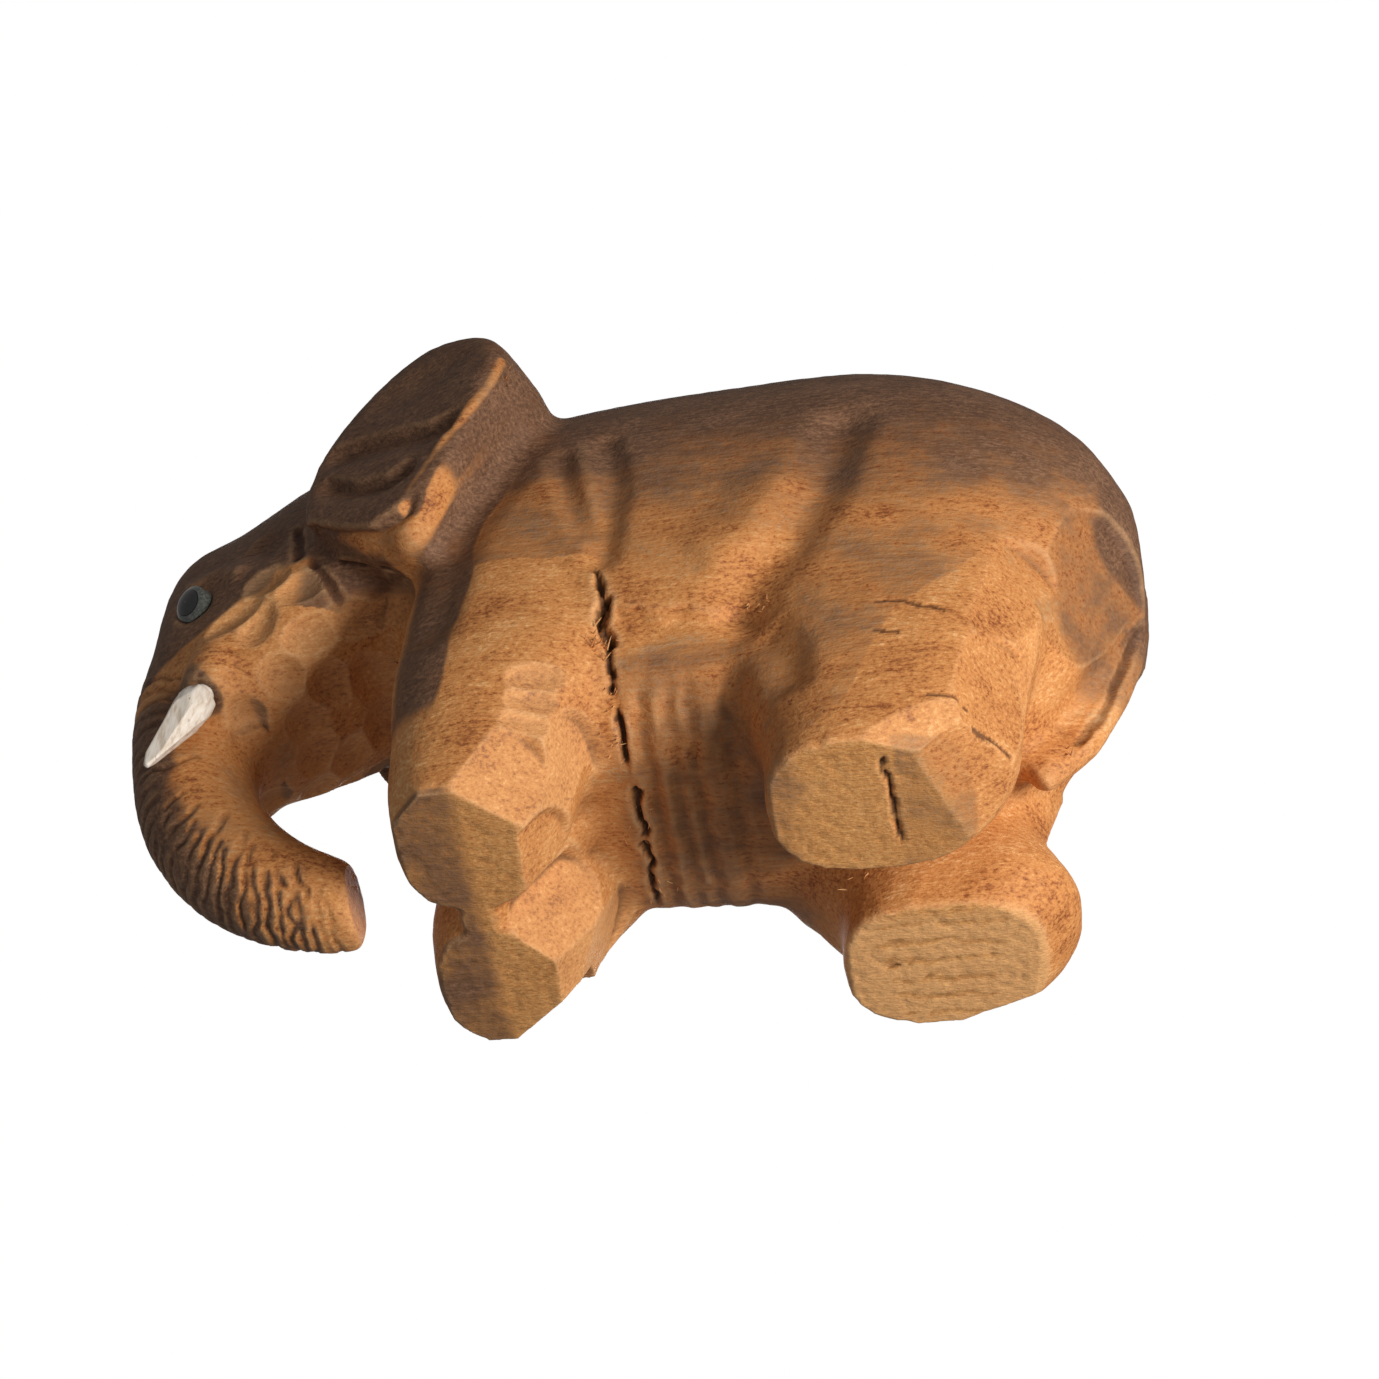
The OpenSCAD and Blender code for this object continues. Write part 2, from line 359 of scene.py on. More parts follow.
block.smooth(2, keep)
block.finish()

# ---------------------------------------------------------------- stage B: cuts
block = Block(voxel_mesh(block.mesh, FINE_VOXEL))
block.smooth(2, 0.8)
shape = block.v.copy()

# The ears: overlapping lobes, each cut in under the one above, and the rear rim.
for side in (NEAR, FAR):
    for rim, wide, deep in (
            (((-60, -35, 99), (-52, -40, 98), (-44, -44, 95), (-36, -47, 92), (-28, -50, 93)), 8, 2.6),
            (((-58, -36, 90), (-51, -40, 84), (-44, -43, 81), (-37, -46, 83)), 6, 2.8),
            (((-64, -30, 82), (-58, -37, 75), (-53, -39, 71), (-46, -42, 67), (-41, -44, 68),
              (-37, -46, 73)), 8, 3.0)):
        block.shelf(line(side, *rim), (0.3, 0, -1), wide, deep)
        block.normals()
    block.groove(line(side, (-22, -50, 105), (-24, -50, 97), (-29, -49, 88), (-34, -47, 79)), 1.6, -0.5)
    block.normals()
x, y, z = block.v.T
block.smooth(2, ramp(np.abs(y), 33, 37) * ramp(z, 62, 66) * ramp(x, -14, -18))
for side in (NEAR, FAR):
    block.scoop(at(side, -40, -46, 107), at(side, 1, -0.35, 0.25), 13, 6, 0.7)
    # Two creases by the eye, each darkened inside with painted shade.
    block.groove(line(side, (-67, -27, 90), (-66, -28, 82), (-65, -27, 77)), 1.8, 1.2, 0.6, 23, tone=-0.6)
    block.groove(line(side, (-63, -27, 77), (-58, -24, 71), (-54, -20, 65)), 1.6, 1.1, 0.6, 24, tone=-0.4)
block.normals()

# The cheek: hollow gouge cuts under the eye and back to the neck.
for side in (NEAR, FAR):
    for place, along, (length, width, depth) in (
            ((-72, -25, 74), (1, 0, 0.2), (6, 4, 1.1)),
            ((-64, -26, 70), (1, 0.3, 0.3), (6, 4, 1.2)),
            ((-78, -23, 67), (1, 0, 0.4), (7, 3.5, 1.0)),
            ((-72, -22, 64), (0.3, 0.4, 1), (6, 4, 1.2)),
            ((-62, -20, 62), (0.2, 0.5, 0.6), (7, 4.5, 1.4)),
            ((-68, -15, 56), (0.4, 1, 0.2), (7, 4.5, 1.5)),
            ((-60, -10, 58), (0.3, 1, 0.3), (7, 5, 1.5)),
            ((-75, -12, 49), (0.6, 1, 0), (5, 4, 1.2)),
            ((-54, -20, 66), (0.5, 0.6, 0.5), (7, 4.5, 1.3)),
            ((-48, -24, 64), (0.5, 0.6, 0.4), (6, 4, 1.2)),
            ((-52, -6, 62), (0.2, 1, 0.2), (8, 5, 1.6)),
            ((-44, -10, 58), (0.2, 1, 0.3), (8, 5, 1.6)),
            ((-66, -4, 54), (0.2, 1, 0.2), (7, 5, 1.4))):
        # Each cut is painted lighter: the lighter tone of a fresh cut, raised further as painted light on
        # the cheek.
        block.scoop(at(side, *place), at(side, *along), length, width, 1.5 * depth, tone=0.3)
    block.normals()

# The lip of the jaw beside the tusk, a shallow step, with three wrinkles over it.
for side in (NEAR, FAR):
    block.shelf(line(side, (-79, -12, 46.5), (-76, -11, 48), (-72, -10, 50)), (0, 0, -1), 5, 0.9)
    for i in range(3):
        block.groove(line(side, (-84, -20, 53 + 3 * i), (-79, -20, 52.5 + 3 * i),
                          (-75, -18, 52 + 3 * i)), 1.0, 0.35, 0.5, 31 + i)
block.normals()

# Wrinkles across the front of the trunk, each one ragged, and darkened inside with painted shade.
trunk_line = ((-87, 60), (-87.7, 44), (-83.5, 30), (-75, 19), (-65, 12.8), (-56, 10.2))
curl = np.array([-64.0, 40.0])
WRINKLES = 30
for i in range(WRINKLES):
    t = i / (WRINKLES - 1) * (len(trunk_line) - 1.2)
    k = int(t)
    mid = np.array(trunk_line[k]) * (1 - t + k) + np.array(trunk_line[k + 1]) * (t - k)
    out = mid - curl
    out /= np.linalg.norm(out)
    for side in (NEAR, FAR):
        reach = 80 + 45 * noise(np.array([[i * 3.1, side, 0.0]]), 1.0, 5)[0]
        ring = []
        for step in range(6):
            turn = math.radians(-8 + (reach + 8) * step / 5)
            far = 13 * np.array([math.cos(turn) * out[0], -side * math.sin(turn),
                                 math.cos(turn) * out[1]])
            ring.append(np.array([mid[0], 0, mid[1]]) + far)
        block.groove(ring, 0.9 + 0.2 * (i % 3), 0.38 + 0.12 * (i % 2), 0.9, 60 + i, tone=-0.25)
block.normals()

# The trunk's end, sliced off flat, with one more slice on the near side.
block.plane_cut((-52.2, 2.5, 10), (0.98, -0.1, 0.12), 12)
block.plane_cut((-58, -5.2, 4.2), (0.1, -0.74, -0.66), 9, 0.1)
block.normals()

# The shoulders and front legs: scalloped cuts, then the flat slices round each front foot.
for side in (NEAR, FAR):
    for i in range(4):
        block.scoop(at(side, -12.5 - i * 0.8, -36 + i, 25 - 4.6 * i), at(side, 1, 0.35, 0.05),
                    8, 3.2, 1.5, tone=0.4)
    block.normals()
    block.plane_cut(at(side, -19, -28.5, 3.5), at(side, 0.62, -0.66, -0.42), 13, 0.2)
    block.plane_cut(at(side, -9.5, -22, 13), at(side, 0.92, -0.22, -0.33), 13, 0.4)
    block.plane_cut(at(side, -38, -30, 6), at(side, -0.72, -0.6, -0.35), 10, 0.1)
block.plane_cut((-15.5, -13, 3), (0.84, 0.05, -0.55), 10, 0.1)
block.plane_cut((-14.5, 20, 2), (0.84, 0.05, -0.55), 12, 0.3)
block.plane_cut((-15, 7, 9), (0.70, -0.60, -0.38), 12, 0.3)
block.normals()

# The rear feet: bevels round the sole, and the planes of the thigh above them.
for side, shift, bevel_x, bevel_tone in ((NEAR, 0, 64, -0.1), (FAR, 13, 84.8, 0.42)):
    block.plane_cut(at(side, bevel_x, -21, 3), at(side, 0.5, -0.2, -0.84), 17, bevel_tone)
    block.plane_cut(at(side, 57 + shift, -35.5, 3.5), at(side, 0.3, -0.72, -0.62), 13, 0.1)
    block.plane_cut(at(side, 71 + shift, -26, 15), at(side, 0.8, -0.55, -0.2), 17, -0.1)
    block.plane_cut(at(side, 75, -30, 38), at(side, 0.72, -0.68, -0.15), 17, -0.1)
    block.plane_cut(at(side, 80, -17, 32), at(side, 0.85, -0.38, -0.36), 15, 0.15)
    block.plane_cut(at(side, 89, -18.5, 54), at(side, 0.78, -0.46, -0.42), 18, -0.25)
    # A groove beside the tail, darkened inside with painted shade.
    block.groove(line(side, (99, -5, 60), (96, -5, 50), (90, -4.5, 38), (83, -4, 29)), 1.6, 0.9, 0.4, 71,
                 tone=-0.5)
block.normals()

# The belly: the flank ends in a scalloped lip, and long gouge cuts run under it side to side.
for side in (NEAR, FAR):
    block.groove(line(side, (1, -37, 42), (6, -37, 38), (11, -37, 38), (16, -37, 38)), 1.6, 0.5, 0.9, 25)
block.normals()
for i, forward in enumerate((5.5, 10.0, 15.0, 20.0)):
    swing = math.sin(i * 2.4)
    block.groove([(forward + swing, side, 19.5 + 0.011 * side * side) for side in range(-32, 33, 8)],
                 2.7, 0.9 - 0.15 * (i % 2), 0.7, 51 + i)
    block.normals()

# General knife facets, small and shallow, over the legs, the trunk, the belly and the rump.
TRIES = 6000
APART = 8
spots = np.random.default_rng(12).permutation(len(block.v))
made = []
for i in spots[:TRIES]:
    p = block.v[i].copy()
    low = p[2] < 50 and p[2] > 3
    ear = p[0] < -12 and p[2] > 62
    if ear or not (low or p[0] > 76) or eye_distance(p[None])[0] < 9:
        continue
    if any(abs(p - q).max() < APART for q in made):
        continue
    made.append(p)
    block.facet(p, 0.22, 10)
block.normals()

# Cracks and torn places: the stop cut, the near rear sole's crack, the far one's saw marks, all darkened
# inside with painted shade.
crack = ((-4, -39, 56), (-2, -38, 50), (-1, -37, 44), (-0.5, -35, 38), (0, -30, 29), (1, -23, 23),
         (2, -10, 21), (2, 0, 20), (2, 9, 21), (2, 20, 22), (1, 27, 26))
block.groove(crack, 1.05, 2.2, 0.9, 91, tone=-1)
block.groove(((-1, -38, 45), (-0.5, -36, 40), (0, -33, 34)), 1.7, 3.5, 0.5, 95, tone=-1)
block.groove(((49, -38, 2), (49, -31, 0), (50, -25, 0), (50, -17, 0), (50.5, -10, 0)), 0.8, 1.3, 0.8, 99,
             tone=-1)
for i in range(6):
    block.groove(((42 + i, 9 + 5 * i, 0), (52, 10 + 5 * i, 0), (62, 10 + 5 * i, 0), (70 - i, 11 + 5 * i, 0)),
                 1.3, 0.22, 1.1, 110 + i, tone=-0.45)
for points, wide, deep in (
        (((48, -41, 33), (55, -41, 32), (63, -39, 30)), 0.7, 0.3),
        (((57, -40, 9), (62, -38, 9), (66, -35, 9)), 0.7, 0.4),
        (((66, -34, 5), (70, -27, 6), (72, -22, 7)), 0.8, 0.6),
        (((48, -41, 25), (54, -41, 24)), 0.7, 0.3),
        (((-57, -28, 74), (-50, -30, 71), (-43, -31, 67)), 1.1, 1.0),
        (((44, 19, 0), (46, 21, 0), (49, 21, 0)), 0.8, 0.8)):
    block.groove(points, wide, deep, 0.7, 120 + int(points[0][0]), tone=-1)
block.normals()

# Soles: end grain torn by the saw, always into the wood.
sole = ramp(block.v[:, 2], 0.6, 0.15) * ramp(block.n[:, 2], -0.7, -0.9)
pits = np.clip(noise(block.v, (1.3, 1.3, 9), 41) + 0.5 * noise(block.v, (0.7, 0.7, 9), 43), 0, 1)
block.v[:, 2] += sole * 0.25 * pits
block.v += (0.06 * noise(block.v, 1.6, 47) * (1 - sole))[:, None] * block.n
block.keep_inside()
block.v[:, 2] = np.where(block.v[:, 2] < 0.06, 0, block.v[:, 2])
block.normals()
block.finish()

# ---------------------------------------------------------------- what the stain covers, with the shade painted in along with it
x, y, z = shape.T
wide = np.abs(y)
folded = shape * [1, 0, 1] - np.stack([0 * x, wide, 0 * x], axis=1)
blotch = fbm(shape, 18, 3, 3)

body_stain_and_shade = np.interp(z + 4 * blotch + 9 * ramp(x, 28, 50), (20, 42, 55, 66, 88, 104),
                       (0.0, 0.08, 0.26, 0.42, 0.74, 0.95))
# The shoulder: stain that deepens upwards, starting at a sharp line at z 56 that is a painted cast shadow
# edge.
shoulder = np.where(z > 56 + blotch, 0.44 + 0.45 * ramp(z, 66, 98), 0.1)
on_shoulder = ramp(x, 2, -5) * ramp(x, -36, -28)
# The rump and the hindquarters: the dark stain of the back, deepened with painted shade.
body_stain_and_shade = np.maximum(body_stain_and_shade, ramp(x, 88, 96) * ramp(z, 56, 64))
body_stain_and_shade = np.maximum(body_stain_and_shade, 0.55 * ramp(x, 80, 86) * ramp(z, 38, 44))
thigh_line = np.interp(x, (36, 43, 52, 65, 72), (4, 8, 29, 43, 52)) + 1.5 * blotch
thigh = ramp(z - thigh_line, -1, 1) * ramp(x, 33, 36) * ramp(x, 76, 72)
body_stain_and_shade = np.maximum(body_stain_and_shade, 0.42 * thigh * ramp(wide, 30, 34))
# Painted shade on the belly between the legs, laid on as stain.
belly = ramp(z, 40, 30) * ramp(x, -8, 0) * ramp(x, 40, 30) * ramp(wide, 38, 34)
body_stain_and_shade = np.maximum(body_stain_and_shade, (0.5 + 0.1 * blotch) * belly)
stain_and_shade = body_stain_and_shade * (1 - on_shoulder) + shoulder * on_shoulder
# Painted shade: a dark band down the neck behind the ear, laid on as stain between front_edge and back_edge.
front_edge = np.interp(z, (15, 25, 42, 64, 71, 84, 100), (-32, -29, -27, -26, -25, -21, -13)) + blotch
back_edge = np.where(z < 66, front_edge - 12, front_edge - 40)
neck = ramp(x - front_edge, 0.9, -0.9) * ramp(x - back_edge, -3, 3) * ramp(wide, 17, 25)
neck *= ramp(wide, 42, 40) * ramp(z, 16, 24)
head = ramp(x, -28, -40)
edge_z = np.interp(x, (-103, -91, -84, -76, -70, -64, -56, -44), (62, 65, 68, 73, 78, 77, 74, 70))
head_stain = ramp(z + 2.2 * blotch, edge_z - 1.5, edge_z + 1.5)
stain_and_shade = stain_and_shade * (1 - head) + head_stain * head
stain_and_shade = np.maximum(stain_and_shade, (0.8 + 0.15 * ramp(z, 60, 80)) * neck)
ear_root = np.interp(x, (-44, -30), (30, 41))
ear = ramp(wide - ear_root, 0, 3) * ramp(z, 60, 66) * ramp(x, -12, -16)
# Painted shade in the recess below the lowest lobe's lip: dark brown in front, orange-brown further back.
ear_lip = np.interp(x, (-67, -58, -54, -45, -39), (88, 75, 72, 67, 68))
shade_under_ear = ear * ramp(z - ear_lip, -1, -2.5) * ramp(x, -34, -38)
# Painted light: the back of the ear, which faces the key lamp, is painted lighter low down.
lit_back_of_ear = ear * ramp(block.n[:, 0], 0.1, 0.4) * ramp(x, -44, -40)
stain_and_shade = np.maximum(stain_and_shade, 0.95 * ear)
stain_and_shade = stain_and_shade * (1 - shade_under_ear) + shade_under_ear * np.where(x < -56, 0.8, 0.3)
# A painted highlight along the ear's rear rim.
rear_rim = ((-22, -50, 105), (-24, -50, 97), (-29, -49, 88), (-34, -47, 79), (-38, -45, 72))
lit_rim_strip = ramp(path(folded, rear_rim)[0], 1.7, 0.6)
stain_and_shade = stain_and_shade * (1 - np.maximum(0.6 * lit_rim_strip, 0.75 * lit_back_of_ear * ramp(z, 80, 74)))
outward = block.n[:, 0] * -0.85 + block.n[:, 2] * -0.25
trunk = ramp(x, -50, -60) * ramp(z, 60, 52)
front = ramp(outward + 0.15 * blotch, -0.1, 0.45)
stain_and_shade = stain_and_shade * (1 - trunk) + trunk * np.maximum(0.3, 0.95 * front) * ramp(x, -50, -62)
tail = ramp(wide, 9, 6) * ramp(x, 84, 92)
stain_and_shade = np.maximum(stain_and_shade, 0.9 * tail * ramp(z, 40, 60))
# The front soles are darker.
darker_front_soles = ramp(z, 1.5, 0.5) * ramp(x, -24, -29)
stain_and_shade = np.maximum(stain_and_shade, 0.65 * darker_front_soles)
smooth_half = ramp(z, 1.5, 0.5) * ramp(x, 50, 51) * ramp(y, -4, -6)
stain_and_shade = np.maximum(stain_and_shade, 0.4 * smooth_half)
block.attribute("stain_and_shade", stain_and_shade)
far_sole = ramp(z, 1.5, 0.5) * ramp(x, 30, 34) * ramp(y, 6, 10)
block.attribute("tone", np.clip(block.tone + 0.6 * far_sole, -1, 1))
# How deep each point lies below the smoothed surface, less on the ears; the wood shader paints shade into
# the hollows and a highlight on the ridges from it.
soft = Block(block.mesh)
soft.smooth(12)
hollow = ((soft.v - block.v) * block.n).sum(1)
block.attribute("hollow", np.clip(hollow / 0.5, -1, 1) * (1 - 0.55 * ear))
block.attribute("sole", ramp(block.n[:, 2], -0.75, -0.95) * ramp(block.v[:, 2], 1.5, 0.5))

block.shade_smooth()


# ---------------------------------------------------------------- materials
class Shader:
    """A material's node tree, built one node at a time."""

    def __init__(self, name):
        self.material = bpy.data.materials.new(name)
        self.material.use_nodes = True
        self.tree = self.material.node_tree
        self.tree.nodes.clear()
        self.out = self.tree.nodes.new("ShaderNodeOutputMaterial")

    def add(self, kind, inputs=None, **settings):
        made = self.tree.nodes.new("ShaderNode" + kind)
        for key, value in settings.items():
            setattr(made, key, value)
        for key, value in (inputs or {}).items():
            if isinstance(value, bpy.types.NodeSocket):
                self.tree.links.new(value, made.inputs[key])
            else:
                made.inputs[key].default_value = value
        return made

    def link(self, a, b):
        self.tree.links.new(a, b)

    def math(self, operation, a, b):
        return self.add("Math", {0: a, 1: b}, operation=operation).outputs[0]

    def span(self, value, a, b, c=0.0, d=1.0, smooth=True):
        """value from a..b mapped to c..d."""
        kind = "SMOOTHSTEP" if smooth else "LINEAR"
        made = self.add("MapRange", {0: value, 1: a, 2: b, 3: c, 4: d}, interpolation_type=kind)
        return made.outputs[0]

    def mix(self, factor, a, b):
        made = self.add("Mix", data_type="RGBA")
        for i, value in ((0, factor), (6, a), (7, b)):
            if isinstance(value, bpy.types.NodeSocket):
                self.link(value, made.inputs[i])
            else:
                made.inputs[i].default_value = value
        return made.outputs[2]

    def attr(self, name):
        return self.add("Attribute", attribute_name=name).outputs["Fac"]

    def noise(self, where, scale, stretch, detail, rough):
        """Noise with that many features per metre; stretch lengthens them on each axis."""
        mapped = self.add(
            "Mapping", {0: where, 3: [scale / s for s in stretch]}, vector_type="POINT")
        made = self.add(
            "TexNoise", {"Vector": mapped.outputs[0], "Scale": 1.0, "Detail": detail,
                         "Roughness": rough})
        return made.outputs[0]

    def coloured(self, value, *stops):
        made = self.add("ValToRGB", {0: value})
        band = made.color_ramp
        while len(band.elements) < len(stops):
            band.elements.new(0.5)
        for element, (at, colour) in zip(band.elements, stops):
            element.position = at
            element.color = (*colour, 1)
        return made.outputs[0]


def srgb(r, g, b):
    """A display colour, 0 to 255, as linear light."""
    def one(c):
        c = c / 255
        return c / 12.92 if c <= 0.04045 else ((c + 0.055) / 1.055) ** 2.4
    return (one(r), one(g), one(b))


wood = Shader("stained_wood")
where = wood.add("TexCoord").outputs["Object"]
grain = wood.noise(where, 1200, (9, 1.3, 1), 4, 0.65)
fleck = wood.noise(where, 1500, (1.7, 1, 1), 3, 0.7)
pore = wood.noise(where, 3600, (4, 1, 1), 2, 0.6)
cloud = wood.noise(where, 95, (1.5, 1, 1), 4, 0.6)
stain_and_shade = wood.attr("stain_and_shade")
tone = wood.attr("tone")
hollow = wood.attr("hollow")
sole = wood.attr("sole")


def blend(*parts):
    """The sum of the wood's (value, weight) pairs."""
    total = None
    for value, weight in parts:
        part = wood.math("MULTIPLY", value, weight)
        total = part if total is None else wood.math("ADD", total, part)
    return total


figure = blend((grain, 0.22), (fleck, 0.45), (cloud, 0.33))
natural = wood.coloured(
    figure, (0.38, srgb(140, 78, 40)), (0.47, srgb(197, 131, 74)), (0.55, srgb(214, 151, 91)),
    (0.63, srgb(238, 188, 132)))
dark = wood.coloured(
    blend((grain, 0.3), (fleck, 0.5), (cloud, 0.2)), (0.36, srgb(74, 50, 36)),
    (0.5, srgb(114, 82, 61)), (0.64, srgb(150, 112, 86)))
end = wood.coloured(
    blend((fleck, 0.55), (pore, 0.25), (cloud, 0.2)), (0.34, srgb(164, 108, 60)),
    (0.48, srgb(198, 140, 82)), (0.62, srgb(220, 168, 108)))
# How far the wood goes to the dark stain colour: the stain, with the shade painted in along with it, broken
# up by the figure.
stain_and_shade_depth = blend((stain_and_shade, 1.0), (wood.span(fleck, 0.3, 0.7, -0.5, 0.5, False), 0.3),
             (wood.span(cloud, 0.3, 0.7, -0.5, 0.5, False), 0.5))
base = wood.mix(sole, natural, end)
base = wood.mix(wood.span(stain_and_shade_depth, 0.2, 0.85), base, dark)
# Tone: positive lightens fresh cuts and fibres, and on the cheek is also painted light; negative darkens, as
# darker wood on some planes and as painted shade in the cracks, creases and wrinkles.
base = wood.mix(wood.span(tone, 0.0, 1.0, 0.0, 0.5, False), base, (*srgb(255, 206, 150), 1))
base = wood.mix(wood.span(tone, 0.0, -1.0, 0.0, 0.75, False), base, (*srgb(60, 34, 20), 1))
# Painted shade in the hollows, and a painted highlight on the ridges.
base = wood.mix(wood.span(hollow, 0.1, 0.8, 0.0, 0.6, False), base, (*srgb(70, 40, 22), 1))
base = wood.mix(wood.span(hollow, -0.1, -0.7, 0.0, 0.35, False), base, (*srgb(236, 190, 140), 1))
rough = wood.span(fleck, 0.3, 0.7, 0.5, 0.7, False)
height = blend((grain, 0.5), (fleck, 0.6), (pore, 0.3))
bump = wood.add("Bump", {"Strength": 0.9, "Distance": 0.0004, "Height": height})
skin = wood.add("BsdfPrincipled", {
    "Base Color": base, "Roughness": rough, "Normal": bump.outputs[0], "Specular IOR Level": 0.3})
wood.link(skin.outputs[0], wood.out.inputs[0])

paint = Shader("white_painted_wood")
where = paint.add("TexCoord").outputs["Object"]
streak = paint.noise(where, 900, (1, 1, 5), 3, 0.6)
worn = paint.noise(where, 350, (1, 1, 2), 4, 0.65)
chalk = paint.coloured(streak, (0.35, srgb(206, 192, 176)), (0.5, srgb(232, 224, 214)),
                       (0.65, srgb(246, 242, 236)))
chalk = paint.mix(paint.span(worn, 0.62, 0.7), chalk, (*srgb(150, 104, 64), 1))
# Painted shade in the hollows between the facets.
chalk = paint.mix(paint.span(paint.attr("hollow"), 0.15, 0.8, 0, 0.7), chalk, (*srgb(120, 84, 56), 1))
bump = paint.add("Bump", {"Strength": 0.4, "Distance": 0.0003, "Height": streak})
skin = paint.add("BsdfPrincipled", {
    "Base Color": chalk, "Roughness": paint.span(worn, 0.3, 0.7, 0.45, 0.7, False),
    "Normal": bump.outputs[0], "Specular IOR Level": 0.4})
paint.link(skin.outputs[0], paint.out.inputs[0])


def iris_glass(side_name):
    """Grey glass, darker towards the pupil of that eye."""
    made = Shader("grey_glass_" + side_name)
    place = made.add("TexCoord").outputs["Object"]
    speck = made.noise(place, 1800, (1, 1, 1), 3, 0.6)
    grey = made.coloured(speck, (0.3, srgb(52, 56, 54)), (0.5, srgb(74, 79, 76)),
                         (0.7, srgb(104, 108, 103)))
    middle = tuple(centre_mm("eye_pupil_" + side_name) * MM)
    off = made.add("VectorMath", {0: place, 1: middle}, operation="DISTANCE").outputs["Value"]
    grey = made.mix(made.span(off, 0.0027, 0.0037), (0.01, 0.01, 0.01, 1), grey)
    gloss = made.add("BsdfPrincipled", {
        "Base Color": grey, "Roughness": made.span(speck, 0.3, 0.7, 0.08, 0.16, False),
        "Coat Weight": 0.8, "Coat Roughness": 0.05})
    made.link(gloss.outputs[0], made.out.inputs[0])
    return made


pupil = Shader("black_glass")
where = pupil.add("TexCoord").outputs["Object"]
speck = pupil.noise(where, 900, (1, 1, 1), 2, 0.5)
black = pupil.coloured(speck, (0.3, (0.004, 0.004, 0.005)), (0.7, (0.012, 0.012, 0.014)))
skin = pupil.add("BsdfPrincipled", {
    "Base Color": black, "Roughness": pupil.span(speck, 0.3, 0.7, 0.05, 0.12, False),
    "Coat Weight": 0.8, "Coat Roughness": 0.04})
pupil.link(skin.outputs[0], pupil.out.inputs[0])

steel = Shader("wire")
where = steel.add("TexCoord").outputs["Object"]
rust = steel.noise(where, 700, (1, 1, 1), 3, 0.6)
metal = steel.coloured(rust, (0.4, srgb(120, 112, 104)), (0.6, srgb(168, 164, 158)))
skin = steel.add("BsdfPrincipled", {
    "Base Color": metal, "Roughness": steel.span(rust, 0.3, 0.7, 0.3, 0.5, False), "Metallic": 1.0})
steel.link(skin.outputs[0], steel.out.inputs[0])


def finish_with(obj, shader):
    obj.data.materials.clear()
    obj.data.materials.append(shader.material)


for side_name in ("left", "right"):
    for part, shader in (("eye_glass_", iris_glass(side_name)), ("eye_pupil_", pupil),
                         ("eye_wire_", steel)):
        finish_with(nodes[part + side_name], shader)

# ---------------------------------------------------------------- pieces
body = new_object("body_carved", block.mesh)
finish_with(body, wood)
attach(body, "root")
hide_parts("carved_body")

# The tusks: whittled pegs, flat slices along them, ragged where they meet the cheek.
TUSK_AXIS = np.array([-0.28, -0.13, -0.95])
for side, side_name in ((NEAR, "left"), (FAR, "right")):
    peg = Block(voxel_mesh(nodes["tusk_" + side_name].data.copy(), TUSK_VOXEL))
    peg.smooth(3)
    axis = unit(TUSK_AXIS * [1, side, 1])
    root = at(side, -83.3, -16.8, 50)
    across = unit(np.cross(axis, (0, 0, 1)))
    third = np.cross(axis, across)
    run = (peg.v - root) @ axis
    for i in range(6):
        turn = i * math.pi / 3 + 0.35
        out = across * math.cos(turn) + third * math.sin(turn)
        lean = unit(out + axis * (0.12 + 0.05 * (i % 2)))
        peg.plane_cut(root + axis * 13 + out * (2.5 - 0.3 * (i % 2)), lean, 16)
    peg.v += (0.22 * noise(peg.v, (1.2, 1.2, 4), 7) * ramp(run, 14, 2))[:, None] * peg.n
    peg.keep_inside()
    peg.normals()
    peg.finish()
    # How deep each point lies below the smoothed tusk, for the painted shade in its hollows.
    calm = Block(peg.mesh)
    calm.smooth(6)
    peg.attribute("hollow", np.clip(((calm.v - peg.v) * peg.n).sum(1) / 0.2, -1, 1))
    peg.shade_smooth()
    tusk = new_object("tusk_whittled_" + side_name, peg.mesh)
    finish_with(tusk, paint)
    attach(tusk, "root")
    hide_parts("tusk_" + side_name)


# Torn fibres: thin tapered splinters standing at the cracks, the ear's tip, the tail's end, the
# flank's edge and one rear leg.
strands = []
loops = []


def splinter(root, lean, length, width, bend):
    """A tapered strand of wood, bent along its length, with four sides."""
    lean = unit(lean)
    side_way = unit(np.cross(lean, (0.3, 0.2, 1)))
    other = np.cross(lean, side_way)
    first = len(strands)
    steps = 5
    for i in range(steps):
        t = i / (steps - 1)
        mid = root + lean * length * t + other * bend * t * t
        half = width * (1 - t) ** 0.7 / 2 + 0.03
        for u, w in ((1, 0), (0, 0.6), (-1, 0), (0, -0.6)):
            strands.append(mid + side_way * half * u + other * half * w)
    for i in range(steps - 1):
        for k in range(4):
            a, b = first + 4 * i + k, first + 4 * i + (k + 1) % 4
            loops.append((a, b, b + 4, a + 4))
    loops.append((first + 3, first + 2, first + 1, first))
    loops.append(tuple(first + 4 * (steps - 1) + k for k in range(4)))


